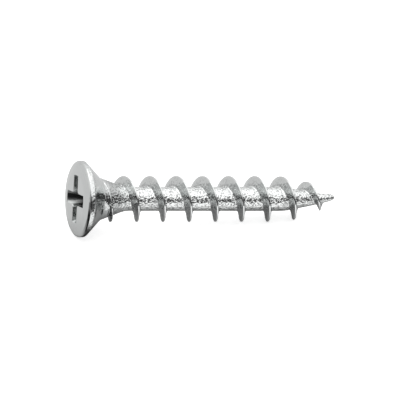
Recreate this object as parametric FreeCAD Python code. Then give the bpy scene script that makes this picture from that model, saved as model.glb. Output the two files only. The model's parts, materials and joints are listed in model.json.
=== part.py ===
"""Countersunk screw with a cross recess and a coarse, deep thread, for fixing fittings to plastic window profiles.

The screw is drawn along its own axis, with the centre of the head's flat face at the origin and the tip on +X.
Distances along the axis are counted from that face. Angles round the axis are counted from +Z towards -Y,
which is the way a right-hand thread turns on its way to the tip.
At the end the finished screw is laid down as it comes to rest on a table: on the rim of its head and on the thread.
"""

import FreeCAD
import Part
import math
import os

# Overall sizes, in millimetres
LENGTH = 25.2  # from the head's face to the tip: sold as 25, to which the crown of the face adds a little
CORE_DIAMETER = 2.2
POINT_LENGTH = 4.9  # the core's cone at the tip
POINT_FILLET = 6.0  # between the core and that cone
TIP_DIAMETER = 0.16

# Head
HEAD_DIAMETER = 7.0
FACE_DIAMETER = 4.9  # the flat middle of the face
CROWN_DIAMETER = 6.6  # outside the flat the face falls away a little, out to here
CROWN_HEIGHT = 0.15
EDGE_HEIGHT = 0.32  # from the flat of the face to where the rounded edge reaches the full diameter
RIM_HEIGHT = 0.72  # from the flat of the face to where the countersunk cone starts
COUNTERSINK_ANGLE = 90.0  # whole angle of the cone
NECK_DIAMETER = 3.98  # where the countersunk cone meets the slimmer neck cone
NECK_ANGLE = 39.0  # whole angle of the neck cone
CONE_EDGE_RADIUS = 0.10  # between the rim and the countersunk cone
HEAD_FILLET = 0.5  # between the countersunk cone and the neck cone
NECK_FILLET = 2.6  # between the neck cone and the core

# Thread
THREAD_DIAMETER = 4.2
PITCH = 2.55
CREST_WIDTH = 0.20
FLANK_ANGLE = 17.0  # of each flank, from square to the axis
THREAD_START = 1.1  # inside the head's cone, out of which the thread grows
CREST_TAPER = 6.0  # the stretch before the tip over which the crests come down
CREST_TIP_DIAMETER = 0.90  # what the crests would taper to at the tip, if the thread did not fade first
CREST_BULGE = 2.1  # 1 brings the crests down evenly, more keeps them high for longer
THREAD_END_GAP = 0.10  # the thread has faded into the core this far before the tip
FADE_TURNS = 0.30  # turns over which the crest sinks into the core at the tip
ROOT_SHARE = 0.75  # the thread's solid reaches down to this share of the core's radius
FACES_PER_TURN = 3  # short faces keep the joining of thread and core quick and sure
POINTS_PER_FACE = 8
CORNERS = 4  # of the thread's section

# Cross recess
RECESS_SPAN = 4.3  # across two opposite wings, at the face
WING_END_ANGLE = 26.5  # of the wings' outer ends, from the axis
WING_DEPTH = 1.95
POINT_ANGLE = 28.0  # of the bottom, from square to the axis
WING_WIDTH = 1.10  # at the face
WING_DRAFT = 5.75  # of each side of a wing, from the axis
CORNER_RADIUS = 0.28  # where two wings meet
RECESS_OVERRUN = 0.5  # how far the cutting tool stands out of the face

# How the screw has rolled as it lies
THREAD_ROLL = 197.3  # angle round the axis at which the thread starts
RECESS_ROLL = -22.0  # angle round the axis of the first wing

WINGS = 4
FULL_TURN = 360.0

head_radius = HEAD_DIAMETER / 2
neck_radius = NECK_DIAMETER / 2
core_radius = CORE_DIAMETER / 2
thread_radius = THREAD_DIAMETER / 2
tip_radius = TIP_DIAMETER / 2
point_start = LENGTH - POINT_LENGTH
point_slope = (core_radius - tip_radius) / POINT_LENGTH
countersink_slope = math.tan(math.radians(COUNTERSINK_ANGLE / 2))
neck_slope = math.tan(math.radians(NECK_ANGLE / 2))
neck_start = RIM_HEIGHT + (head_radius - neck_radius) / countersink_slope
neck_end = neck_start + (neck_radius - core_radius) / neck_slope


def point_at(along, radius, angle=0.0):
    """The point at a distance along the axis, a radius, and an angle round the axis in degrees."""
    turned = math.radians(angle)
    return FreeCAD.Vector(along, -radius * math.sin(turned), radius * math.cos(turned))


def core_radius_at(along):
    """Radius of the core and its cone at a distance along the axis, without the fillet between them."""
    return min(core_radius, tip_radius + (LENGTH - along) * point_slope)


def crest_radius_at(along):
    """Radius to which the crests reach, before the thread fades: even at first, then falling in a curve."""
    share = max((along - LENGTH + CREST_TAPER) / CREST_TAPER, 0.0)
    return thread_radius - (thread_radius - CREST_TIP_DIAMETER / 2) * share**CREST_BULGE


def rounded_outline(corners):
    """Edges through (along, radius, fillet) corners, with a tangent arc in place of each corner that has a fillet."""
    places = [point_at(along, radius) for along, radius, fillet in corners]
    edges = []
    last = places[0]
    for i in range(1, len(places) - 1):
        before = (places[i - 1] - places[i]).normalize()
        after = (places[i + 1] - places[i]).normalize()
        fillet = corners[i][2]
        if fillet == 0:
            edges.append(Part.makeLine(last, places[i]))
            last = places[i]
            continue
        half = before.getAngle(after) / 2
        setback = fillet / math.tan(half)
        enter = places[i] + before * setback
        leave = places[i] + after * setback
        middle = (before + after).normalize() * (fillet / math.sin(half) - fillet) + places[i]
        edges.append(Part.makeLine(last, enter))
        edges.append(Part.Arc(enter, middle, leave).toShape())
        last = leave
    edges.append(Part.makeLine(last, places[-1]))
    return edges


def blank():
    """The head, neck, core and point without thread or recess: one outline turned round the axis."""
    corners = [
        (0.0, 0.0, 0.0),
        (0.0, FACE_DIAMETER / 2, 0.0),
        (CROWN_HEIGHT, CROWN_DIAMETER / 2, 0.0),
        (EDGE_HEIGHT, head_radius, 0.0),
        (RIM_HEIGHT, head_radius, CONE_EDGE_RADIUS),
        (neck_start, neck_radius, HEAD_FILLET),
        (neck_end, core_radius, NECK_FILLET),
        (point_start, core_radius, POINT_FILLET),
        (LENGTH, tip_radius, 0.0),
        (LENGTH, 0.0, 0.0),
    ]
    outline = rounded_outline(corners)
    outline.append(Part.makeLine(point_at(LENGTH, 0.0), point_at(0.0, 0.0)))
    face = Part.Face(Part.Wire(outline))
    return face.revolve(FreeCAD.Vector(0, 0, 0), FreeCAD.Vector(1, 0, 0), FULL_TURN)


thread_turns = (LENGTH - THREAD_END_GAP - THREAD_START) / PITCH


def thread_centre(turn):
    """Distance along the axis of the middle of the thread, after so many turns."""
    return THREAD_START + PITCH * turn


def crest_height(turn):
    """How far the crest stands above the core, after so many turns: it fades out over the last part of a turn."""
    along = thread_centre(turn)
    core = core_radius_at(along)
    crest = crest_radius_at(along)
    left = min(max((thread_turns - turn) / FADE_TURNS, 0.0), 1.0)
    return (crest - core) * math.sin(left * math.pi / 2)


def thread_section(turn):
    """The four corners of the thread's section, after so many turns: root, crest, crest, root, from head side to tip side."""
    along = thread_centre(turn)
    core = core_radius_at(along)
    height = crest_height(turn)
    root = core * ROOT_SHARE
    crest = core + height
    slope = math.tan(math.radians(FLANK_ANGLE))
    half_crest = CREST_WIDTH / 2 * min(crest / core_radius, 1.0)
    half_root = half_crest + (crest - root) * slope
    angle = THREAD_ROLL + FULL_TURN * turn
    return [
        point_at(along - half_root, root, angle),
        point_at(along - half_crest, crest, angle),
        point_at(along + half_crest, crest, angle),
        point_at(along + half_root, root, angle),
    ]


def rail_pieces(places, turns, pieces):
    """A smooth curve through the places, one for each number of turns, cut into so many pieces of equal length."""
    curve = Part.BSplineCurve()
    curve.interpolate(Points=places, Parameters=turns)
    edges = []
    for i in range(pieces):
        piece = curve.copy()
        piece.segment(turns[i * POINTS_PER_FACE], turns[(i + 1) * POINTS_PER_FACE])
        edges.append(piece.toShape())
    return edges


def thread():
    """The helical ridge: ruled faces between four helical rails, closed by a flat section at each end."""
    pieces = math.ceil(thread_turns * FACES_PER_TURN)
    steps = pieces * POINTS_PER_FACE
    turns = [thread_turns * i / steps for i in range(steps + 1)]
    sections = [thread_section(turn) for turn in turns]
    rails = [rail_pieces([section[corner] for section in sections], turns, pieces) for corner in range(CORNERS)]
    faces = []
    for corner in range(CORNERS):
        for edge, next_edge in zip(rails[corner], rails[(corner + 1) % CORNERS]):
            faces.append(Part.makeRuledSurface(edge, next_edge))
    for section in (sections[0], sections[-1]):
        faces.append(Part.Face(Part.makePolygon(section + section[:1])))
    shell = Part.makeShell(faces)
    shell.sewShape()
    ridge = Part.Solid(shell)
    if ridge.Volume < 0:
        ridge.reverse()
    return ridge


def cross_outline(along, half_span, half_width):
    """A cross of four wings in the plane at a distance along the axis, with a rounded corner between each two."""
    inner = half_width + CORNER_RADIUS
    nearest = half_width + CORNER_RADIUS * (1 - math.sqrt(0.5))
    edges = []
    for wing in range(WINGS):
        angle = math.radians(RECESS_ROLL + FULL_TURN * wing / WINGS)
        out = FreeCAD.Vector(0, -math.sin(angle), math.cos(angle))
        side = FreeCAD.Vector(0, -math.cos(angle), -math.sin(angle))
        centre = FreeCAD.Vector(along, 0, 0)
        end_before = centre + out * half_span - side * half_width
        end_after = centre + out * half_span + side * half_width
        arc_start = centre + out * inner + side * half_width
        arc_middle = centre + (out + side) * nearest
        arc_end = centre + out * half_width + side * inner
        next_end = centre + side * half_span + out * half_width
        edges.append(Part.makeLine(end_before, end_after))
        edges.append(Part.makeLine(end_after, arc_start))
        edges.append(Part.Arc(arc_start, arc_middle, arc_end).toShape())
        edges.append(Part.makeLine(arc_end, next_end))
    return Part.Wire(edges)


def recess():
    """The space of the cross recess: a tapered cross, kept within a cone that ends in a blunt point."""
    span_slope = math.tan(math.radians(WING_END_ANGLE))
    draft_slope = math.tan(math.radians(WING_DRAFT))
    mouth_radius = RECESS_SPAN / 2
    bottom_radius = mouth_radius - WING_DEPTH * span_slope
    deepest = WING_DEPTH + bottom_radius * math.tan(math.radians(POINT_ANGLE))
    cone_outline = Part.makePolygon(
        [
            point_at(-RECESS_OVERRUN, 0.0),
            point_at(-RECESS_OVERRUN, mouth_radius + RECESS_OVERRUN * span_slope),
            point_at(WING_DEPTH, bottom_radius),
            point_at(deepest, 0.0),
            point_at(-RECESS_OVERRUN, 0.0),
        ]
    )
    cone = Part.Face(cone_outline).revolve(FreeCAD.Vector(0, 0, 0), FreeCAD.Vector(1, 0, 0), FULL_TURN)
    past_the_cone = RECESS_SPAN
    outer = cross_outline(-RECESS_OVERRUN, past_the_cone, WING_WIDTH / 2 + RECESS_OVERRUN * draft_slope)
    inner = cross_outline(deepest, past_the_cone, WING_WIDTH / 2 - deepest * draft_slope)
    cross = Part.makeLoft([outer, inner], True, True)
    return cone.common(cross)


def lowest(points, tilt):
    """Height of the lowest of these points once the tip end has gone down by tilt, in radians."""
    return min(point.z * math.cos(tilt) - point.x * math.sin(tilt) for point in points)


def resting_tilt():
    """The angle in degrees by which the axis falls from head to tip when rim and thread both touch the table."""
    rim = [point_at(RIM_HEIGHT, head_radius, angle) for angle in range(90, 271)]
    steps = math.ceil(thread_turns * FULL_TURN)
    crests = [thread_section(thread_turns * i / steps)[corner] for i in range(steps + 1) for corner in (1, 2)]
    low, high = 0.0, math.pi / 4
    while high - low > 1e-9:
        middle = (low + high) / 2
        if lowest(crests, middle) > lowest(rim, middle):
            low = middle
        else:
            high = middle
    return math.degrees(low)


def main():
    """Builds the screw, lays it down and writes its STEP file."""
    screw = blank().fuse(thread()).cut(recess())
    solid = screw.Solids[0]
    tilt = resting_tilt()
    solid.rotate(FreeCAD.Vector(0, 0, 0), FreeCAD.Vector(0, 1, 0), tilt)
    os.makedirs("parts", exist_ok=True)
    solid.exportStep("parts/screw.step")
    print("solids", len(screw.Solids), "valid", solid.isValid(), "volume", round(solid.Volume, 3))
    print("axis falls by", round(tilt, 4), "degrees, lowest point", round(solid.BoundBox.ZMin, 4))
    print("faces", len(solid.Faces))


main()
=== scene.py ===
"""A zinc-plated countersunk screw for plastic window profiles, lying on a pale table.

The screw is one closed surface. It is worked out in the screw's own frame: distances along the axis are counted
from the head's flat face, and angles round the axis from +Z towards -Y, the way a right-hand thread turns on its
way to the tip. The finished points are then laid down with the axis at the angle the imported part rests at.
Sizes are in metres.
"""

import json
import math

import bpy
import numpy as np
from bpy.props import FloatProperty, FloatVectorProperty, PointerProperty
from mathutils import Matrix, Vector


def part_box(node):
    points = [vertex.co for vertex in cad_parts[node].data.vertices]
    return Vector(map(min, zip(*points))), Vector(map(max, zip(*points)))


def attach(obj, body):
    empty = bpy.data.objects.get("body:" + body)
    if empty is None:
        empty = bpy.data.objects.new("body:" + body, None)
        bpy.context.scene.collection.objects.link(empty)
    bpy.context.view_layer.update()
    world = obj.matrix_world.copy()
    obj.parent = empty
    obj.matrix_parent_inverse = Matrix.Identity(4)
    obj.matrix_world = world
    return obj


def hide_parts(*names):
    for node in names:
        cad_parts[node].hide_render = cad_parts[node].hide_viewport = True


bl_info = {
    "name": "PVC profile screw",
    "version": (1, 0, 0),
    "blender": (4, 5, 0),
    "location": "3D View > Sidebar > Screw",
    "description": "Builds a zinc-plated countersunk screw with a cross recess, and the table it lies on",
    "category": "Object",
}

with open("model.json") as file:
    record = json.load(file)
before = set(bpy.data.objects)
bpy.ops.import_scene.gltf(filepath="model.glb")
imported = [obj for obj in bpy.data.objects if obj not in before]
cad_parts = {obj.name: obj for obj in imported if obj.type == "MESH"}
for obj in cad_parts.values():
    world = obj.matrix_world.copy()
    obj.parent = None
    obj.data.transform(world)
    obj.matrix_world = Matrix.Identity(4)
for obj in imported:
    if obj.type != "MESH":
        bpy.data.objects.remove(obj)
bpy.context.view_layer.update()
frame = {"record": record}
MOUNTS = {mount["name"]: mount for mount in frame["record"]["mounts"]}
TABLE_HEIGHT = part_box("screw")[0].z

# How finely the surface is divided
HALF_WINGS = 8
END_STEPS, SIDE_STEPS, CORNER_STEPS = 6, 10, 8  # columns across half a wing's end, along its side, round its corner
COLUMNS = HALF_WINGS * (END_STEPS + SIDE_STEPS + CORNER_STEPS)
ROOT_ROWS = np.array([0.0, 0.25, 0.5, 0.7, 0.84, 0.93, 0.98])
FLANK_ROWS = np.array([0.0, 0.05, 0.14, 0.3, 0.5, 0.7, 0.86, 0.95])
CREST_ROWS = np.array([0.0, 0.12, 0.5, 0.88])
FACE_ROWS = np.array([0.02, 0.08, 0.2, 0.4, 0.6, 0.8, 0.92, 0.98])
WALL_ROWS = np.array([0.0, 0.03, 0.1, 0.25, 0.45, 0.65, 0.82, 0.93, 0.98, 1.0])
BOTTOM_ROWS = np.array([0.98, 0.92, 0.8, 0.65, 0.5, 0.35, 0.2, 0.1])
CONE_RINGS = 12  # from the rim down the countersunk cone
LIP_SHARES = (0.35, 0.7, 1.0)  # of the quarter turn that rounds the recess's edge
BAND_START = 0.0015  # about where, on the countersunk cone, the rows that follow the thread take over
BAND_GAP = 0.00004  # how far before the tip they end
FLANK_TRIES = 12  # repetitions that find where a flank meets the blank
SHARP = math.radians(50)  # edges between faces that meet at more than this are shaded sharp

# Radii that round the blank's corners, in metres, from the face's flat to the tip
FLAT_ROUND, CROWN_ROUND, EDGE_ROUND, RIM_ROUND = 0.0015, 0.0003, 0.00022, 0.00010
HEAD_FILLET, NECK_FILLET, POINT_FILLET = 0.0004, 0.0026, 0.006
NOSE_ROUND, TIP_ROUND = 0.0004, 0.00012

# Where the plating changes, and where the painted shade in the recess starts, in metres: each place with the stretch
# over which it fades
NECK_END, NECK_FADE = 0.0046, 0.001
GRAIN_START, GRAIN_FADE = 0.0020, 0.0010
CORE_FADE = 0.0009  # out from the blank, up the thread's flanks
RIM_FADE = 0.00045  # along the axis, to each side of the rim's lower edge
RECESS_START, RECESS_FADE = 0.11, 0.5  # shares of the wings' depth, over which the painted shade in the recess comes in
WORN_POWER = 6  # the higher, the narrower the worn edge of the crest
WORN_HEIGHT = 0.0001  # the thread is worn where it stands higher than this
NECK_GRAIN, RIM_GRAIN = 0.85, 0.55  # the grain of neck and rim, where the bare core's is 1

# How strongly each effect shows: the plating's, and the painted shade on the neck, the flank roots and in the recess
DULL_ON_CORE, DULL_ANYWHERE = 0.5, 0.25  # the first is added on the core
BARE_ON_CORE = (0.87, 1.0, 0.0, 0.7)  # the core's mask from, to, and the bare colour's share there
NECK_RISE, NECK_FALL, NECK_PAINTED_SHADE = (0.60, 0.82), (0.93, 0.87), 0.22  # the core's mask, on neck and flank roots, and the share of painted shade there
# The first is the share of the painted shade deep in the recess
RECESS_PAINTED_SHADE, WORN_BRIGHT, PITTED = 0.9, 0.5, 0.5
SMOOTHEST, ROUGH_PATCHES, ROUGH_RECESS = 0.07, 0.04, 0.08
GRAIN_ON_CORE, GRAIN_ANYWHERE = 1.32, 0.04
MARKS_ON_CORE, MARKS_ANYWHERE = 0.15, 0.02

# The studio's light. A direction's share along an axis goes from the first value to the second, and the strength from
# the third to the fourth. Behind the screw it is grey, ahead of it white overhead and dark near the table.
BEHIND = (0.1, 1.0, 0.77, 1.25)
ROOM_CENTRE, ROOM = 0.05, (0.12, 0.5, 0.08, 0.06)
AHEAD, WHITE_OVERHEAD = (0.30, 0.80), 1.42
TURN_FORWARD = (0.15, -0.35)
BESIDE_X, BESIDE_Y, BESIDE_Z, BESIDE_DARK = (-0.32, -0.45), (-0.2, -0.5), (0.58, 0.50), 0.75

# The painted reflections on the table, which only the screw's plating mirrors: painted shade in front of and under
# the screw, and a painted white patch. Where each edge starts and ends to fade, in metres
FRONT_PAINTED_SHADE = (-0.0014, -0.0037)  # Y
FRONT_PAINTED_SHADE_FAR = (-0.034, -0.018, 0.75, 1.0)  # X + Y, and how black it is there
WHITE_HEAD_SLANT, WHITE_HEAD = -0.6, (0.0021, 0.0038)  # Y's weight, and X with that much of Y
WHITE_TIP_SLANT, WHITE_TIP = 0.6, (0.022, 0.032, 1.0, 0.0)
WHITE_FAR, WHITE_NEAR = (-0.028, -0.014), (-0.0014, -0.0040)  # Y
WHITE_DRAWN_BACK = (0.006, 0.011, 0.0016, 0.0)  # X, and how much further from the screw the near edge is there
UNDER_REACH = (0.006, 0.014, 0.0055, 0.0025)  # X, and how far towards the camera the painted shadow under the screw reaches
UNDER_NEAR, UNDER_FAR, UNDER_HEAD = (-0.0015, 0.001), (0.004, 0.0015), (-0.0004, 0.0006)  # Y, Y and X
UNDER_ALONG = (0.0016, 0.0046, 0.92, 0.12)  # X, and how black it is there
UNDER_ACROSS, UNDER_BEHIND = (-0.0010, 0.0005), 0.40  # Y, and how black it is past that
PAINTED_SHADE_COLOUR, PAINTED_REFLECTION_LIGHT, SEEN_LIGHT = (0.01, 0.01, 0.01, 1.0), 0.48, 0.72
FIBRE_SCALE, FIBRE_SHARE, FIBRE_COLOUR = 1500.0, 0.03, (0.64, 0.64, 0.64, 1.0)

# The table, the lamp and the camera, in metres
TABLE_HALF = 1.5
LAMP_TARGET = (0.012, 0.0, -0.001)
LAMP_UP, LAMP_BACK, LAMP_LEFT = 0.30, 0.12, 0.05
LAMP_SIZE, LAMP_POWER = 0.22, 0.15
NEAREST, FURTHEST = 0.001, 10.0
WHITE = (1.0, 1.0, 1.0, 1.0)


def length(name, description, default):
    """A size of the screw, in metres."""
    return FloatProperty(name=name, description=description, default=default, min=0.0, unit="LENGTH", precision=5)


def angle(name, description, degrees):
    """An angle, stored in radians."""
    return FloatProperty(name=name, description=description, default=math.radians(degrees), subtype="ANGLE")


def tint(name, description, default):
    """A colour, as linear red, green and blue."""
    return FloatVectorProperty(name=name, description=description, default=default, subtype="COLOR", size=3)


class ScrewSizes(bpy.types.PropertyGroup):
    """Sizes of the head, neck, core and point."""

    overall: length("Length", "From the head's face to the tip", 0.0252)
    head: length("Head", "Diameter of the head", 0.007)
    face: length("Face", "Diameter of the flat middle of the face", 0.0049)
    crown: length("Crown", "Diameter out to which the face falls away a little outside its flat", 0.0065)
    crown_height: length("Crown height", "How far the face falls away", 0.00015)
    edge: length("Edge", "From the flat of the face to where the rounded edge reaches the full diameter", 0.00032)
    rim: length("Rim", "From the flat of the face to where the countersunk cone starts", 0.00072)
    countersink: angle("Countersink", "Whole angle of the countersunk cone", 90)
    neck: length("Neck", "Diameter where the countersunk cone meets the neck cone", 0.00398)
    neck_angle: angle("Neck cone", "Whole angle of the neck cone", 39)
    core: length("Core", "Diameter between the threads", 0.0022)
    point: length("Point", "Length of the core's cone at the tip", 0.0049)
    nose: length("Nose", "Length of the blunt end of the point", 0.0003)
    nose_start: length("Nose start", "Diameter where the blunt end starts", 0.00056)
    tip: length("Tip", "Diameter at the very tip", 0.00026)
    bend: length("Bend", "How far the end of the point is bent up", 0.00015)
    bend_length: length("Bend length", "How much of the point is bent", 0.003)
    tilt: FloatProperty(
        name="Tilt",
        description="How far the axis falls from head to tip as the screw lies",
        default=math.atan2(-MOUNTS["thread"]["axis"][2], MOUNTS["thread"]["axis"][0]),
        subtype="ANGLE",
    )


class ThreadSizes(bpy.types.PropertyGroup):
    """Sizes of the thread."""

    diameter: length("Diameter", "Over the crests", 0.0042)
    pitch: length("Pitch", "Distance along the axis for one turn", 0.00255)
    crest: length("Crest", "Width of the crest", 0.00013)
    flank: angle("Flank", "Slope of each flank, from square to the axis", 18.5)
    start: length("Start", "Where the thread starts, inside the head's cone", 0.0011)
    roll: angle("Roll", "Angle round the axis at which the thread starts", 184.0)
    taper: length("Taper", "Stretch before the tip over which the crests come down", 0.006)
    tip_diameter: length("Tip diameter", "What the crests come down to at the tip", 0.0007)
    end_gap: length("End gap", "The thread has faded into the core this far before the tip", 0.00005)
    fade_turns: FloatProperty(name="Fade", description="Turns over which the crest sinks at the tip", default=0.25)
    run_in: FloatProperty(name="Run-in", description="Turns over which the crest comes up at the head", default=0.9)
    run_in_drop: length("Run-in drop", "How much lower the crest is at its start", 0.0006)
    bulge: FloatProperty(name="Bulge", description="Above 1 the crests stay high for longer", default=2.1)
    crest_round: length("Crest rounding", "How softly the crest's edges are rolled", 0.00006)
    root_round: length("Root rounding", "How softly the flanks run into the core", 0.00014)


class RecessSizes(bpy.types.PropertyGroup):
    """Sizes of the cross recess."""

    span: length("Span", "Across two opposite wings, at the face", 0.0044)
    width: length("Wing width", "Width of a wing at the face", 0.0011)
    depth: length("Wing depth", "Depth of the wings' ends", 0.00195)
    end_angle: angle("Wing ends", "Slope of the wings' outer ends, from the axis", 26.5)
    draft: angle("Draft", "Slope of each side of a wing, from the axis", 5.75)
    bottom_angle: angle("Bottom", "Slope of the bottom, from square to the axis", 28)
    corner: length("Corner", "Radius where two wings meet", 0.00028)
    lip: length("Lip", "Rounding of the recess's edge at the face", 0.00006)
    roll: angle("Roll", "Angle round the axis of the first wing", -22)


class ZincFinish(bpy.types.PropertyGroup):
    """The bright zinc plating, and the colours of the painted shade in the recess and on the neck and flank roots."""

    zinc: tint("Zinc", "Colour of the plating", (0.67, 0.685, 0.68))
    dull: tint("Dull zinc", "Colour where the plating is dull", (0.59, 0.60, 0.60))
    bare: tint("Core", "Colour of the bare core between the threads", (0.89, 0.905, 0.90))
    # Painted shade: this near-black colour darkens the recess, where shade falls
    deep: tint("Recess", "Colour deep in the recess", (0.06, 0.06, 0.06))
    worn: tint("Worn edge", "Colour where the crest's plating is rubbed", (0.76, 0.76, 0.76))
    # Also the colour of the painted shade on the neck and the flank roots
    pits: tint("Pits", "Colour in the plating's pits", (0.10, 0.10, 0.10))
    grain: length("Grain", "Size of the plating's grains", 0.00021)
    patch: length("Patches", "Size of the dull patches", 0.0007)
    marks: length("Rolling marks", "Spacing of the marks that rolling leaves round the core", 0.00007)
    relief: length("Relief", "Height of the grains and marks", 0.00007)


class StudioSettings(bpy.types.PropertyGroup):
    """The table, the light and the camera."""

    floor: tint("Floor", "Colour of the table", (0.66, 0.66, 0.66))
    azimuth: angle("Azimuth", "How far the camera stands towards the head's side", 20)
    roll: angle("Roll", "How far the camera is raised, turning about the screw's axis", 30)
    lens: FloatProperty(name="Lens", description="Focal length", default=1200.0, unit="CAMERA")
    pixels_per_metre: FloatProperty(
        name="Scale", description="Picture's pixels per metre at the screw", default=10930.0
    )
    picture: FloatProperty(name="Picture", description="Width of the picture in pixels", default=400.0)
    face_column: FloatProperty(name="Face column", description="Picture's column of the face's centre", default=75.55)
    face_row: FloatProperty(name="Face row", description="Picture's row of the face's centre", default=198.9)


def cylinder_points(along, radius, turned):
    """Points at distances along the axis, radii and angles round it: x is along, y is minus radius times the
    angle's sine, and z is radius times its cosine."""
    along, radius, turned = np.broadcast_arrays(along, radius, turned)
    return np.stack([along, -radius * np.sin(turned), radius * np.cos(turned)], axis=-1)


def laid_down(points, tilt):
    """The points turned about Y so that the axis falls by tilt from head to tip."""
    x, y, z = points[..., 0], points[..., 1], points[..., 2]
    down, across = math.sin(tilt), math.cos(tilt)
    return np.stack([x * across + z * down, y, z * across - x * down], axis=-1)


def blank_outline(sizes, arc_steps=10):
    """The outline of the screw without thread or recess, as (along, radius) points from the face to the tip.

    It is a chain of straight lines. Each corner with a fillet is replaced by an arc that touches both lines: the
    arc's ends lie at fillet / tan(half the corner's angle) from the corner, and its centre on the bisector.
    """
    half_head, half_neck, half_core, half_tip = sizes.head / 2, sizes.neck / 2, sizes.core / 2, sizes.tip / 2
    neck_start = sizes.rim + (half_head - half_neck) / math.tan(sizes.countersink / 2)
    neck_end = neck_start + (half_neck - half_core) / math.tan(sizes.neck_angle / 2)
    corners = [
        (0.0, 0.0, 0.0),
        (0.0, sizes.face / 2, FLAT_ROUND),
        (sizes.crown_height, sizes.crown / 2, CROWN_ROUND),
        (sizes.edge, half_head, EDGE_ROUND),
        (sizes.rim, half_head, RIM_ROUND),
        (neck_start, half_neck, HEAD_FILLET),
        (neck_end, half_core, NECK_FILLET),
        (sizes.overall - sizes.point, half_core, POINT_FILLET),
        (sizes.overall - sizes.nose, sizes.nose_start / 2, NOSE_ROUND),
        (sizes.overall, half_tip, TIP_ROUND),
        (sizes.overall, 0.0, 0.0),
    ]
    places = [np.array(corner[:2]) for corner in corners]
    outline = []
    for before, place, after, corner in zip(places, places[1:], places[2:], corners[1:]):
        towards = (before - place) / np.linalg.norm(before - place)
        away = (after - place) / np.linalg.norm(after - place)
        half = math.acos(np.clip(towards @ away, -1.0, 1.0)) / 2
        bisector = (towards + away) / np.linalg.norm(towards + away)
        centre = place + bisector * corner[2] / math.sin(half)
        first = place + towards * corner[2] / math.tan(half) - centre
        last = place + away * corner[2] / math.tan(half) - centre
        share = np.linspace(0.0, 1.0, arc_steps)[:, None]
        chord = first * (1 - share) + last * share
        outline.append(centre + chord / np.linalg.norm(chord, axis=1, keepdims=True) * corner[2])
    return np.concatenate(outline)


def mirrored(shares):
    """The same spacing of rows from the other end: 0, then 1 less each share but the first, from the last down."""
    return np.append(0.0, 1 - shares[:0:-1])


def smooth_max(first, second, width):
    """The larger of two values, with the step between them blended where they differ by less than width."""
    overlap = np.maximum(width - np.abs(first - second), 0.0)
    return np.maximum(first, second) + overlap**2 / (4 * width)


class Thread:
    """The helical ridge round the blank, as a radius that depends on the distance from the ridge's middle."""

    def __init__(self, sizes, thread, outline):
        self.sizes, self.thread = sizes, thread
        side = outline[np.argmax(outline[:, 1]) :]
        self.side = side[side[:, 1] > 0]
        self.turns = (sizes.overall - thread.end_gap - thread.start) / thread.pitch

    def blank_radius(self, along):
        """Radius of the blank's side at distances along the axis, read off the outline."""
        return np.interp(along, self.side[:, 0], self.side[:, 1])

    def crest_radius(self, turn):
        """Radius of the crest after so many turns.

        It is half the thread's diameter, less the run-in's drop times the power 1.5 of the share of the run-in that
        is ahead. It comes down before the tip with the power bulge of the share of the taper that is behind, and
        sinks into the core with the sine of the share of the last turns that is left.
        """
        sizes, thread = self.sizes, self.thread
        along = thread.start + thread.pitch * turn
        core = self.blank_radius(along)
        share = np.clip((along - sizes.overall + thread.taper) / thread.taper, 0.0, 1.0)
        crest = thread.diameter / 2 - (thread.diameter - thread.tip_diameter) / 2 * share**thread.bulge
        crest = crest - thread.run_in_drop * np.clip(1 - turn / thread.run_in, 0.0, 1.0) ** 1.5
        left = np.clip((self.turns - turn) / thread.fade_turns, 0.0, 1.0)
        crest = np.where(left < 1, core + (crest - core) * np.sin(left * np.pi / 2), crest)
        return np.where((turn < 0) | (turn > self.turns), 0.0, crest)

    def half_crest(self, turn):
        """Half the crest's width, which shrinks with the crest's radius where that is below the core's."""
        return self.thread.crest / 2 * np.minimum(self.crest_radius(turn) / (self.sizes.core / 2), 1.0)

    def half_root(self, turn, side):
        """From the ridge's middle to where its flank meets the blank, towards the head (-1) or the tip (1).

        The flank's width is its height times the tangent of its slope, and the height depends on where the flank
        lands, so the answer is found by repetition.
        """
        middle = self.thread.start + self.thread.pitch * turn
        half_crest = self.half_crest(turn)
        width = half_crest
        for _ in range(FLANK_TRIES):
            height = np.maximum(self.crest_radius(turn) - self.blank_radius(middle + side * width), 0.0)
            width = half_crest + height * math.tan(self.thread.flank)
        return width

    def radius(self, turn, offset):
        """Radius of the screw's side at a distance offset from the ridge's middle after so many turns.

        The ridge is the crest's radius, less what lies outside the crest divided by the flank's tangent. Its upper
        edges and its meeting with the blank are blended.
        """
        thread = self.thread
        blank = self.blank_radius(thread.start + thread.pitch * turn + offset)
        crest = self.crest_radius(turn)
        flank = crest - (np.abs(offset) - self.half_crest(turn)) / math.tan(thread.flank)
        ridge = -smooth_max(-crest, -flank, thread.crest_round)
        root = np.minimum(thread.root_round, 0.5 * blank)
        return smooth_max(blank, ridge, root)


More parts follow.
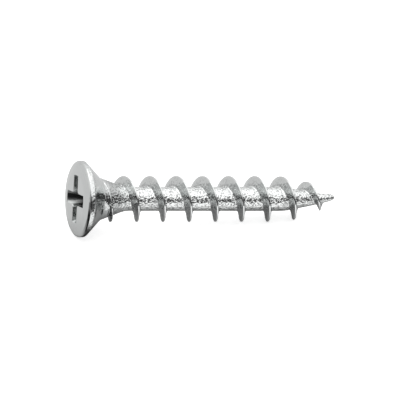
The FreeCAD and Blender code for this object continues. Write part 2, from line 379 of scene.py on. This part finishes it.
def side_surface(sizes, thread, recess):
    """The screw's side from the countersunk cone to the tip, as one band that winds round the axis with the thread.

    Columns follow the thread and rows cross it, from half a pitch on the head's side of the ridge to half a pitch
    on the tip's side. The last row of a column is the first row of the column one turn on. The first turn's rows
    are held at a circle on the cone and the last turn's at a circle by the tip, so both ends close in a plain ring.
    Gives the points, a number for each that is the same where two coincide, the first number of the two end rings,
    the angle of the first column, where the ring on the cone lies, and the masks crest, core and recess.
    """
    ridge = Thread(sizes, thread, blank_outline(sizes))
    quarter = math.pi / 2
    wanted = thread.roll + 2 * math.pi * (BAND_START - thread.start - thread.pitch / 2) / thread.pitch
    first_angle = recess.roll + quarter * round((wanted - recess.roll) / quarter)
    first_turn = (first_angle - thread.roll) / (2 * math.pi)
    head_ring = thread.start + thread.pitch * (first_turn + 0.5)
    last = math.floor((sizes.overall - BAND_GAP - head_ring) / thread.pitch * COLUMNS) + COLUMNS
    tip_ring = head_ring + thread.pitch * (last / COLUMNS - 1)

    turn = (first_turn + np.arange(last + 1) / COLUMNS)[:, None]
    middle = thread.start + thread.pitch * turn
    half_pitch, half_crest = thread.pitch / 2, ridge.half_crest(turn)
    head_root, tip_root = ridge.half_root(turn, -1), ridge.half_root(turn, 1)
    offsets = np.concatenate(
        [
            -half_pitch + (half_pitch - head_root) * ROOT_ROWS,
            -head_root + (head_root - half_crest) * FLANK_ROWS,
            -half_crest + 2 * half_crest * CREST_ROWS,
            half_crest + (tip_root - half_crest) * mirrored(FLANK_ROWS),
            tip_root + (half_pitch - tip_root) * mirrored(ROOT_ROWS),
            np.full_like(turn, half_pitch),
        ],
        axis=1,
    )
    along = np.clip(middle + offsets, head_ring, tip_ring)
    radius = ridge.radius(turn, along - middle)
    points = cylinder_points(along, radius, thread.roll + 2 * math.pi * turn)

    column = np.arange(last + 1)[:, None]
    row = np.arange(offsets.shape[1])[None, :]
    rows = offsets.shape[1] - 1
    number = column * rows + row
    number = np.where(row == rows, (column + COLUMNS) * rows, number)
    tiny = thread.pitch * 1e-6
    rings = (last + 1) * rows
    number = np.where(middle + offsets < head_ring + tiny, rings + column % COLUMNS, number)
    number = np.where(middle + offsets > tip_ring - tiny, rings + COLUMNS + column % COLUMNS, number)

    height = radius - ridge.blank_radius(along)
    depth = np.maximum(ridge.crest_radius(turn) - ridge.blank_radius(middle), 1e-6)
    crest = np.clip(height / depth, 0.0, 1.0) ** WORN_POWER * (depth > WORN_HEIGHT)
    neck = np.clip((NECK_END - along) / NECK_FADE, 0.0, 1.0)
    core = np.clip(1 - height / CORE_FADE, 0.0, 1.0) * (1 - (1 - NECK_GRAIN) * neck)
    core = np.maximum(core, NECK_GRAIN * neck) * np.clip((along - GRAIN_START) / GRAIN_FADE, 0.0, 1.0)
    masks = np.stack([crest, core, np.zeros_like(core)], -1)
    return points, number, rings, first_angle, head_ring, masks


def wing_columns(half_width, reach, corner):
    """Angles and radii of a cross's outline, one for each column, counted from the middle of the first wing.

    Over half a wing the outline is an arc of radius reach across the wing's end, a straight side at half_width from
    the wing's middle line, and an arc of radius corner that meets the next wing's at 45 degrees. Each of the three
    takes its own share of the columns, and the other half wings are its mirror images and turns. Near the bottom,
    where a wing is too short for a side, arc and end share the columns evenly.
    """
    diagonal = math.pi / 4
    tangent_along = half_width + corner
    end_angle = math.asin(min(half_width / reach, math.sin(diagonal)))
    side_start, side_end = math.sqrt(max(reach**2 - half_width**2, 0.0)), tangent_along
    tangent_angle = math.atan2(half_width, tangent_along)
    across = end_angle * np.arange(END_STEPS) / END_STEPS
    run = side_start + (side_end - side_start) * np.arange(SIDE_STEPS) / SIDE_STEPS
    sideways = np.arctan2(half_width, run)
    round_corner = tangent_angle + (diagonal - tangent_angle) * np.arange(CORNER_STEPS + 1) / CORNER_STEPS
    if side_start <= side_end:
        sideways = end_angle + (diagonal - end_angle) * np.arange(SIDE_STEPS) / (SIDE_STEPS + CORNER_STEPS)
        corner_share = np.arange(SIDE_STEPS, SIDE_STEPS + CORNER_STEPS + 1) / (SIDE_STEPS + CORNER_STEPS)
        round_corner = end_angle + (diagonal - end_angle) * corner_share
    half_wing = np.concatenate([across, sideways, round_corner])
    to_centre = math.sqrt(2) * tangent_along
    aside = to_centre * np.sin(diagonal - half_wing)
    arc = to_centre * np.cos(diagonal - half_wing) - np.sqrt(np.maximum(corner**2 - aside**2, 0.0))
    wall = half_width / np.maximum(np.sin(half_wing), 1e-9)
    inside = np.where(half_wing > tangent_angle, arc, wall)
    radius = np.minimum(inside, reach)
    steps = END_STEPS + SIDE_STEPS + CORNER_STEPS
    column = np.arange(COLUMNS) + steps
    wing, place = column // (2 * steps), column % (2 * steps) - steps
    angles = wing * math.pi / 2 + np.sign(place) * half_wing[np.abs(place)]
    return angles, radius[np.abs(place)]


def head_surface(sizes, recess, head_ring):
    """The head from the bottom of the recess, up its walls, over the face and the rim, to the ring on the cone.

    Each row is a closed ring of columns. In the recess a row is the cross's outline at its depth, where the reach
    of the wings shrinks with the slope of their ends and their width with the draft. On the face each row lies
    part of the way from the recess's outline to the plain circle at the face's edge. Gives the rows' distances,
    radii and angles, a mask for the recess and one for the rim's grain, and the depth of the recess's middle.
    """
    end_slope, draft_slope = math.tan(recess.end_angle), math.tan(recess.draft)
    bottom_slope = math.tan(recess.bottom_angle)
    bottom_reach = recess.span / 2 - recess.depth * end_slope
    even = 2 * math.pi * np.arange(COLUMNS) / COLUMNS
    rows, masks = [], []
    for share in BOTTOM_ROWS[::-1]:
        depth = recess.depth + bottom_reach * (1 - share) * bottom_slope
        angles, radius = wing_columns(recess.width / 2 - depth * draft_slope, bottom_reach * share, recess.corner)
        rows.append((np.full(COLUMNS, depth), radius, angles))
        masks.append(1.0)
    for share in WALL_ROWS[::-1]:
        depth = recess.lip + (recess.depth - recess.lip) * share
        reach = recess.span / 2 - depth * end_slope
        angles, radius = wing_columns(recess.width / 2 - depth * draft_slope, reach, recess.corner)
        rows.append((np.full(COLUMNS, depth), radius, angles))
        masks.append(np.clip((depth / recess.depth - RECESS_START) / RECESS_FADE, 0.0, 1.0))
    lip_angles, lip_radius = angles, radius
    for share in LIP_SHARES:
        out = recess.lip * (1 - math.cos(share * math.pi / 2))
        deep = recess.lip * (1 - math.sin(share * math.pi / 2))
        rows.append((np.full(COLUMNS, deep), lip_radius + out, lip_angles))
        masks.append(0.0)
    mouth_radius = lip_radius + recess.lip
    outline = blank_outline(sizes)
    edge = outline[outline[:, 0] < head_ring]
    face_radius = edge[0, 1]
    for share in FACE_ROWS:
        radius = mouth_radius * (1 - share) + face_radius * share
        rows.append((np.zeros(COLUMNS), radius, lip_angles * (1 - share) + even * share))
        masks.append(0.0)
    ring_radius = np.interp(head_ring, outline[:, 0], outline[:, 1])
    cone = np.linspace(edge[-1], [head_ring, ring_radius], CONE_RINGS + 2)[1:-1]
    for along, radius in np.concatenate([edge, cone]):
        rows.append((np.full(COLUMNS, along), np.full(COLUMNS, radius), even))
        masks.append(0.0)
    along, radius, angles = (np.stack([row[part] for row in rows]) for part in range(3))
    centre_depth = recess.depth + bottom_reach * bottom_slope
    near_rim = np.clip(1 - np.abs(along[:, 0] - sizes.rim) / RIM_FADE, 0.0, 1.0)
    on_rim = RIM_GRAIN * near_rim * (radius[:, 0] > sizes.crown / 2)
    return along, radius, angles, np.array(masks), on_rim, centre_depth


def triangles_of(grid):
    """Two triangles for each cell of a grid of point numbers, without those that have two corners in one point."""
    a, b, c, d = grid[:-1, :-1], grid[1:, :-1], grid[1:, 1:], grid[:-1, 1:]
    both = np.concatenate([np.stack([a, b, c], -1).reshape(-1, 3), np.stack([a, c, d], -1).reshape(-1, 3)])
    real = (both[:, 0] != both[:, 1]) & (both[:, 1] != both[:, 2]) & (both[:, 2] != both[:, 0])
    return both[real]


def screw_surface(sizes, thread, recess):
    """The whole closed surface: points, triangles that face outwards, and for each point the masks crest, core and
    recess, which are 1 on the thread's crest, on the bare core and at the bottom of the recess."""
    points, number, rings, first_angle, head_ring, masks = side_surface(sizes, thread, recess)
    along, radius, angles, in_recess, on_rim, centre_depth = head_surface(sizes, recess, head_ring)
    head_points = cylinder_points(along, radius, first_angle + angles)
    ring_count = rings + 2 * COLUMNS
    total = ring_count + head_points.shape[0] * COLUMNS + 2
    place = np.zeros((total, 3))
    mask = np.zeros((total, 3))
    place[number.ravel()] = points.reshape(-1, 3)
    mask[number.ravel()] = masks.reshape(-1, 3)
    place[ring_count:-2] = head_points.reshape(-1, 3)
    # The recess's mask, which sets where the painted shade darkens the recess
    mask[ring_count:-2, 2] = np.repeat(in_recess, COLUMNS)
    mask[ring_count:-2, 1] = np.repeat(on_rim, COLUMNS)
    place[-2] = (centre_depth, 0.0, 0.0)
    mask[-2, 2] = 1.0
    place[-1] = (sizes.overall, 0.0, 0.0)

    head_grid = ring_count + np.arange(head_points.shape[0] * COLUMNS).reshape(-1, COLUMNS)
    start_ring = rings + np.arange(COLUMNS)
    end_ring = start_ring + COLUMNS
    closed = np.concatenate([np.full((1, COLUMNS), total - 2), head_grid, start_ring[None, :]])
    closed = np.concatenate([closed, closed[:, :1]], axis=1)
    tip = np.stack([end_ring, np.full(COLUMNS, total - 1)])
    tip = np.concatenate([tip, tip[:, :1]], axis=1)
    faces = np.concatenate([triangles_of(closed), triangles_of(number.T), triangles_of(tip)])
    used, faces = np.unique(faces, return_inverse=True)
    faces = faces.reshape(-1, 3)
    place, mask = place[used], mask[used]
    corners = place[faces]
    volume = np.einsum("ij,ij->i", corners[:, 0], np.cross(corners[:, 1], corners[:, 2])).sum()
    if volume < 0:
        faces = faces[:, ::-1]
    bent = np.clip((place[:, 0] - sizes.overall + sizes.bend_length) / sizes.bend_length, 0.0, 1.0)
    place = laid_down(place, sizes.tilt)
    place[:, 2] += sizes.bend * bent**2
    return place, faces, mask


def new_mesh(name, points, faces, masks=None):
    """An object at the origin with this mesh, shaded smooth, its masks stored as a colour for each point."""
    mesh = bpy.data.meshes.new(name)
    mesh.from_pydata(points.tolist(), [], faces.tolist())
    mesh.shade_smooth()
    mesh.set_sharp_from_angle(angle=SHARP)
    if masks is not None:
        stored = mesh.color_attributes.new("masks", "FLOAT_COLOR", "POINT")
        stored.data.foreach_set("color", np.column_stack([masks, np.ones(len(masks))]).astype(np.float32).ravel())
    mesh.update()
    piece = bpy.data.objects.new(name, mesh)
    bpy.context.scene.collection.objects.link(piece)
    return piece


class Tree:
    """Adds nodes to a material, world or group, and joins them."""

    def __init__(self, tree):
        self.tree = tree

    def add(self, kind, settings=None, **inputs):
        """A node of this kind, with its settings, and its inputs set to values or joined to other sockets.

        An input is named with underscores for spaces, or given by number after one underscore.
        """
        node = self.tree.nodes.new("ShaderNode" + kind)
        for name, value in (settings or {}).items():
            setattr(node, name, value)
        for name, value in inputs.items():
            socket = node.inputs[int(name[1:])] if name[0] == "_" else node.inputs[name.replace("_", " ")]
            if isinstance(value, bpy.types.NodeSocket):
                self.tree.links.new(value, socket)
            else:
                socket.default_value = value
        return node

    def math(self, operation, *values):
        """A sum on one, two or three numbers or sockets."""
        settings = {"operation": operation}
        return self.add("Math", settings, **{f"_{i}": value for i, value in enumerate(values)}).outputs[0]

    def between(self, value, low, high, to_low=0.0, to_high=1.0):
        """The value's share of the way from low to high, smoothly, and carried to another range."""
        settings = {"interpolation_type": "SMOOTHSTEP"}
        node = self.add("MapRange", settings, _0=value, _1=low, _2=high, _3=to_low, _4=to_high)
        return node.outputs[0]

    def mixed(self, share, first, second):
        """A colour that goes from first to second with the share."""
        return self.add("Mix", {"data_type": "RGBA"}, _0=share, _6=first, _7=second).outputs[2]


def node_group(name, inputs, outputs):
    """A new shader node group with float inputs, as (name, default), and outputs, as (name, socket type)."""
    group = bpy.data.node_groups.new(name, "ShaderNodeTree")
    for label, default in inputs:
        group.interface.new_socket(label, in_out="INPUT", socket_type="NodeSocketFloat").default_value = default
    for label, kind in outputs:
        group.interface.new_socket(label, in_out="OUTPUT", socket_type=kind)
    tree = Tree(group)
    return group, tree, group.nodes.new("NodeGroupInput").outputs, group.nodes.new("NodeGroupOutput").inputs


def plating_grain():
    """Grains of zinc: fine noise over small cells. Puts out a height, a patchy tone and where the pits are."""
    group, tree, given, result = node_group(
        "plating_grain",
        [("Grain", 0.0001), ("Patch", 0.0006)],
        [("Height", "NodeSocketFloat"), ("Tone", "NodeSocketFloat"), ("Pits", "NodeSocketFloat")],
    )
    place = tree.add("TexCoord").outputs["Object"]
    fine_scale = tree.math("DIVIDE", 1.0, given["Grain"])
    patch_scale = tree.math("DIVIDE", 1.0, given["Patch"])
    fine = tree.add("TexNoise", Vector=place, Scale=fine_scale, Detail=1.0, Roughness=0.5).outputs["Fac"]
    cells = tree.add("TexVoronoi", {"feature": "SMOOTH_F1"}, Vector=place, Scale=fine_scale).outputs["Distance"]
    patches = tree.add("TexNoise", Vector=place, Scale=patch_scale, Detail=4.0, Roughness=0.65).outputs["Fac"]
    tree.tree.links.new(tree.math("MULTIPLY_ADD", cells, 0.3, fine), result["Height"])
    tree.tree.links.new(tree.between(patches, 0.35, 0.65), result["Tone"])
    tree.tree.links.new(tree.between(fine, 0.45, 0.36), result["Pits"])
    return group


def rolling_marks(tilt):
    """Marks that run round the screw's own axis: noise that changes quickly along the axis and slowly across it."""
    group, tree, given, result = node_group(
        "rolling_marks", [("Spacing", 0.0001), ("Run", 0.0012)], [("Height", "NodeSocketFloat")]
    )
    place = tree.add("TexCoord").outputs["Object"]
    turned = tree.add("VectorRotate", {"rotation_type": "Y_AXIS"}, Vector=place, Angle=-tilt).outputs[0]
    split = tree.add("SeparateXYZ", Vector=turned)
    along = tree.math("DIVIDE", split.outputs["X"], given["Spacing"])
    across = [tree.math("DIVIDE", split.outputs[axis], given["Run"]) for axis in "YZ"]
    stretched = tree.add("CombineXYZ", X=along, Y=across[0], Z=across[1]).outputs[0]
    marks = tree.add("TexNoise", Vector=stretched, Scale=1.0, Detail=2.0).outputs["Fac"]
    tree.tree.links.new(marks, result["Height"])
    return group


def edge_wear():
    """How far an edge's plating is rubbed: the edge's own mask, broken up by noise."""
    group, tree, given, result = node_group(
        "edge_wear", [("Edge", 0.0), ("Break", 0.0003)], [("Wear", "NodeSocketFloat")]
    )
    place = tree.add("TexCoord").outputs["Object"]
    noise = tree.add("TexNoise", Vector=place, Scale=tree.math("DIVIDE", 1.0, given["Break"]), Detail=3.0)
    broken = tree.between(noise.outputs["Fac"], 0.35, 0.6)
    tree.tree.links.new(tree.math("MULTIPLY", given["Edge"], broken), result["Wear"])
    return group


def zinc_material(finish, tilt):
    """Bright zinc plating on steel: a mirror on the head, grainy on the core and the flanks, with painted shade that
    darkens the recess, the neck and the flank roots.
    """
    material = bpy.data.materials.new("bright_zinc_plating")
    material.use_nodes = True
    material.node_tree.nodes.clear()
    tree = Tree(material.node_tree)
    masks = tree.add("SeparateColor", Color=tree.add("Attribute", {"attribute_name": "masks"}).outputs["Color"])
    crest, core, deep = (masks.outputs[name] for name in ("Red", "Green", "Blue"))
    grain = tree.add("Group", {"node_tree": plating_grain()}, Grain=finish.grain, Patch=finish.patch).outputs
    marks = tree.add("Group", {"node_tree": rolling_marks(tilt)}, Spacing=finish.marks).outputs["Height"]
    wear = tree.add("Group", {"node_tree": edge_wear()}, Edge=crest).outputs["Wear"]

    patchy = tree.math("MULTIPLY", grain["Tone"], tree.math("MULTIPLY_ADD", core, DULL_ON_CORE, DULL_ANYWHERE))
    # Painted shade on the neck and the flank roots, where the core's mask is partway
    neck = tree.math("MULTIPLY", tree.between(core, *NECK_RISE), tree.between(core, *NECK_FALL))
    pitted = tree.math("MULTIPLY", grain["Pits"], tree.math("MULTIPLY", core, PITTED))
    colour = (*finish.zinc, 1.0)
    for share, over in (
        (patchy, finish.dull),
        (tree.between(core, *BARE_ON_CORE), finish.bare),
        # Painted shade on the neck and the flank roots
        (tree.math("MULTIPLY", neck, NECK_PAINTED_SHADE), finish.pits),
        # Painted shade deep in the recess
        (tree.math("MULTIPLY", deep, RECESS_PAINTED_SHADE), finish.deep),
        (tree.math("MULTIPLY", wear, WORN_BRIGHT), finish.worn),
        (pitted, finish.pits),
    ):
        colour = tree.mixed(share, colour, (*over, 1.0))
    rough = tree.math("MULTIPLY_ADD", grain["Tone"], ROUGH_PATCHES, SMOOTHEST)
    rough = tree.math("MULTIPLY_ADD", deep, ROUGH_RECESS, rough)

    grain_share = tree.math("MULTIPLY_ADD", core, GRAIN_ON_CORE, GRAIN_ANYWHERE)
    marks_share = tree.math("MULTIPLY_ADD", core, MARKS_ON_CORE, MARKS_ANYWHERE)
    grain_height = tree.math("MULTIPLY", grain["Height"], grain_share)
    height = tree.math("MULTIPLY_ADD", marks, marks_share, grain_height)
    bump = tree.add("Bump", Strength=1.0, Distance=finish.relief, Height=height).outputs["Normal"]
    shader = tree.add("BsdfPrincipled", Base_Color=colour, Metallic=1.0, Roughness=rough, Normal=bump)
    output = tree.add("OutputMaterial")
    tree.tree.links.new(shader.outputs["BSDF"], output.inputs["Surface"])
    return material


def table_material(colour):
    """The pale table, which meets the white backdrop because part of its light is its own where the camera sees it.

    Where the screw's plating mirrors it, and only there, it carries painted reflections: painted shade in front of
    the screw, a painted white patch, which glows, on that along the shank, and a painted shadow under the screw.
    """
    material = bpy.data.materials.new("pale_table")
    material.use_nodes = True
    material.node_tree.nodes.clear()
    tree = Tree(material.node_tree)
    place = tree.add("TexCoord").outputs["Object"]
    fibre = tree.add("TexNoise", Vector=place, Scale=FIBRE_SCALE, Detail=3.0).outputs["Fac"]
    tone = tree.mixed(tree.math("MULTIPLY", fibre, FIBRE_SHARE), (*colour, 1.0), FIBRE_COLOUR)
    matt = tree.add("BsdfDiffuse", Color=tone)
    split = tree.add("SeparateXYZ", Vector=place).outputs
    path = tree.add("LightPath").outputs
    in_mirror = tree.math("MAXIMUM", path["Is Glossy Ray"], path["Is Transmission Ray"])

    # Painted reflection: a white patch on the table that only the plating mirrors
    head_edge = tree.math("MULTIPLY_ADD", split["Y"], WHITE_HEAD_SLANT, split["X"])
    tip_edge = tree.math("MULTIPLY_ADD", split["Y"], WHITE_TIP_SLANT, split["X"])
    painted_reflection_patch = tree.math("MULTIPLY", tree.between(head_edge, *WHITE_HEAD), tree.between(tip_edge, *WHITE_TIP))
    painted_reflection_patch = tree.math("MULTIPLY", painted_reflection_patch, tree.between(split["Y"], *WHITE_FAR))
    drawn_back = tree.math("ADD", split["Y"], tree.between(split["X"], *WHITE_DRAWN_BACK))
    bright = tree.math("MULTIPLY", tree.between(drawn_back, *WHITE_NEAR), painted_reflection_patch)

    # Painted shade in front of the screw, seen only in the plating
    dark = tree.math("MULTIPLY", tree.between(split["Y"], *FRONT_PAINTED_SHADE), tree.math("SUBTRACT", 1.0, painted_reflection_patch))
    dark = tree.math("MULTIPLY", dark, tree.between(tree.math("ADD", split["X"], split["Y"]), *FRONT_PAINTED_SHADE_FAR))
    # Painted shadow under the screw, seen only in the plating
    reach = tree.between(split["X"], *UNDER_REACH)
    painted_shadow_beneath = tree.between(tree.math("ADD", split["Y"], reach), *UNDER_NEAR)
    painted_shadow_beneath = tree.math("MULTIPLY", painted_shadow_beneath, tree.between(split["Y"], *UNDER_FAR))
    painted_shadow_beneath = tree.math("MULTIPLY", painted_shadow_beneath, tree.between(split["X"], *UNDER_HEAD))
    weight = tree.between(split["Y"], *UNDER_ACROSS, tree.between(split["X"], *UNDER_ALONG), UNDER_BEHIND)
    dark = tree.math("MAXIMUM", dark, tree.math("MULTIPLY", painted_shadow_beneath, weight))

    # The painted white patch glows in the plating's mirror rays only; the camera sees the table's own even light
    own = tree.math("MULTIPLY", tree.math("MULTIPLY", bright, in_mirror), PAINTED_REFLECTION_LIGHT)
    own = tree.math("MULTIPLY_ADD", path["Is Camera Ray"], SEEN_LIGHT, own)
    glow = tree.add("Emission", Color=WHITE, Strength=own)
    painted_shade_bsdf = tree.add("BsdfDiffuse", Color=PAINTED_SHADE_COLOUR)
    # The painted shade and shadow replace the table's matt colour in the plating's mirror rays
    share = tree.math("MULTIPLY", dark, in_mirror)
    shaded = tree.add("MixShader", _0=share, _1=matt.outputs[0], _2=painted_shade_bsdf.outputs[0])
    both = tree.add("AddShader", _0=shaded.outputs[0], _1=glow.outputs[0])
    output = tree.add("OutputMaterial")
    tree.tree.links.new(both.outputs[0], output.inputs["Surface"])
    return material


def camera_axes(studio, tilt):
    """The camera's right, up and back directions: it stands towards the head's side by the azimuth, and is turned
    about the screw's axis by the roll, which raises it above the table."""
    near = np.array([0.0, -math.cos(studio.roll), math.sin(studio.roll)])
    up = np.array([0.0, math.sin(studio.roll), math.cos(studio.roll)])
    back = -math.sin(studio.azimuth) * np.array([1.0, 0.0, 0.0]) + math.cos(studio.azimuth) * near
    right = np.cross(up, back)
    return [Vector(laid_down(axis, tilt)) for axis in (right, up, back)]


def studio_world():
    """The studio by direction: a grey backdrop behind the screw, and on the camera's side white overhead and dark
    down by the table, darkest towards the head. What the camera sees past the table is plain white."""
    world = bpy.data.worlds.new("studio")
    world.use_nodes = True
    world.node_tree.nodes.clear()
    tree = Tree(world.node_tree)
    direction = tree.add("TexCoord").outputs["Generated"]
    split = tree.add("SeparateXYZ", Vector=direction).outputs
    behind = tree.between(split["Z"], *BEHIND)
    sides = tree.math("ABSOLUTE", tree.math("ADD", split["X"], ROOM_CENTRE))
    ahead = tree.between(split["Z"], *AHEAD, tree.between(sides, *ROOM), WHITE_OVERHEAD)
    forward = tree.between(split["Y"], *TURN_FORWARD)
    strength = tree.math("MULTIPLY_ADD", forward, tree.math("SUBTRACT", ahead, behind), behind)
    beside = tree.math("MULTIPLY", tree.between(split["X"], *BESIDE_X), tree.between(split["Z"], *BESIDE_Z))
    beside = tree.math("MULTIPLY", beside, tree.between(split["Y"], *BESIDE_Y))
    left_over = tree.math("SUBTRACT", 1.0, tree.math("MULTIPLY", beside, BESIDE_DARK))
    strength = tree.math("MULTIPLY", strength, left_over)
    strength = tree.math("MAXIMUM", strength, tree.add("LightPath").outputs["Is Camera Ray"])
    background = tree.add("Background", Color=WHITE, Strength=strength)
    output = tree.add("OutputWorld")
    tree.tree.links.new(background.outputs[0], output.inputs["Surface"])
    return world


def soft_lamp(name, place, target, size, power):
    """A square lamp at place that faces target."""
    lamp = bpy.data.lights.new(name, "AREA")
    lamp.shape, lamp.size, lamp.energy = "SQUARE", size, power
    holder = bpy.data.objects.new(name, lamp)
    holder.location = place
    holder.rotation_mode = "QUATERNION"
    holder.rotation_quaternion = (Vector(target) - Vector(place)).to_track_quat("-Z", "Y")
    bpy.context.scene.collection.objects.link(holder)
    return holder


class SCREW_OT_add_screw(bpy.types.Operator):
    """Builds the screw's surface and its plating in place of the plain part"""

    bl_idname = "screw.add_screw"
    bl_label = "Add screw"

    def execute(self, context):
        scene = context.scene
        sizes = scene.screw_sizes
        points, faces, masks = screw_surface(sizes, scene.screw_thread, scene.screw_recess)
        piece = new_mesh("zinc_screw", points, faces, masks)
        piece.data.materials.append(zinc_material(scene.screw_finish, sizes.tilt))
        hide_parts("screw")
        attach(piece, "root")
        return {"FINISHED"}


class SCREW_OT_add_studio(bpy.types.Operator):
    """Adds the table, the light and the camera"""

    bl_idname = "screw.add_studio"
    bl_label = "Add studio"

    def execute(self, context):
        scene = context.scene
        studio = scene.screw_studio
        right, up, back = camera_axes(studio, scene.screw_sizes.tilt)
        corners = np.array([[-1, -1, 0], [1, -1, 0], [1, 1, 0], [-1, 1, 0]]) * TABLE_HALF
        floor = new_mesh("table", corners + [0, 0, TABLE_HEIGHT], np.array([[0, 1, 2], [0, 2, 3]]))
        floor.data.materials.append(table_material(studio.floor))

        scene.world = studio_world()
        lit = Vector(LAMP_TARGET)
        lamp_place = lit + up * LAMP_UP + back * LAMP_BACK - right * LAMP_LEFT
        soft_lamp("softbox", lamp_place, lit, LAMP_SIZE, LAMP_POWER)

        centre = studio.picture / 2
        target = right * ((centre - studio.face_column) / studio.pixels_per_metre)
        target += up * ((studio.face_row - centre) / studio.pixels_per_metre)
        target -= back * (scene.screw_sizes.overall / 2 * math.sin(studio.azimuth))
        lens = bpy.data.cameras.new("camera")
        lens.lens = studio.lens
        distance = studio.picture / studio.pixels_per_metre * studio.lens / lens.sensor_width
        lens.clip_start, lens.clip_end = NEAREST, FURTHEST
        camera = bpy.data.objects.new("camera", lens)
        turned = Matrix((right, up, back)).transposed().to_4x4()
        camera.matrix_world = Matrix.Translation(target + back * distance) @ turned
        scene.collection.objects.link(camera)
        scene.camera = camera
        scene.view_settings.view_transform = "Standard"
        return {"FINISHED"}


class SCREW_PT_panel(bpy.types.Panel):
    """Lists the sizes, the finish and the studio, with a button for each step"""

    bl_idname = "SCREW_PT_panel"
    bl_label = "PVC profile screw"
    bl_space_type = "VIEW_3D"
    bl_region_type = "UI"
    bl_category = "Screw"

    def draw(self, context):
        layout = self.layout
        for label, settings in zip(LABELS, (getattr(context.scene, name) for name in SETTINGS)):
            box = layout.box()
            box.label(text=label)
            for name in settings.bl_rna.properties.keys():
                if name not in ("name", "rna_type"):
                    box.prop(settings, name)
        layout.operator(SCREW_OT_add_screw.bl_idname)
        layout.operator(SCREW_OT_add_studio.bl_idname)


SETTINGS = {
    "screw_sizes": ScrewSizes,
    "screw_thread": ThreadSizes,
    "screw_recess": RecessSizes,
    "screw_finish": ZincFinish,
    "screw_studio": StudioSettings,
}
LABELS = ("Head and core", "Thread", "Recess", "Plating", "Studio")
CLASSES = (*SETTINGS.values(), SCREW_OT_add_screw, SCREW_OT_add_studio, SCREW_PT_panel)


def register():
    """Makes the classes known and gives every scene its settings."""
    for each in CLASSES:
        bpy.utils.register_class(each)
    for name, group in SETTINGS.items():
        setattr(bpy.types.Scene, name, PointerProperty(type=group))


def unregister():
    """Takes the settings and the classes away again."""
    for name in SETTINGS:
        delattr(bpy.types.Scene, name)
    for each in reversed(CLASSES):
        bpy.utils.unregister_class(each)


def main():
    """Registers the add-on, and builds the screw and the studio."""
    register()
    bpy.ops.screw.add_screw()
    bpy.ops.screw.add_studio()


if __name__ == "__main__":
    main()
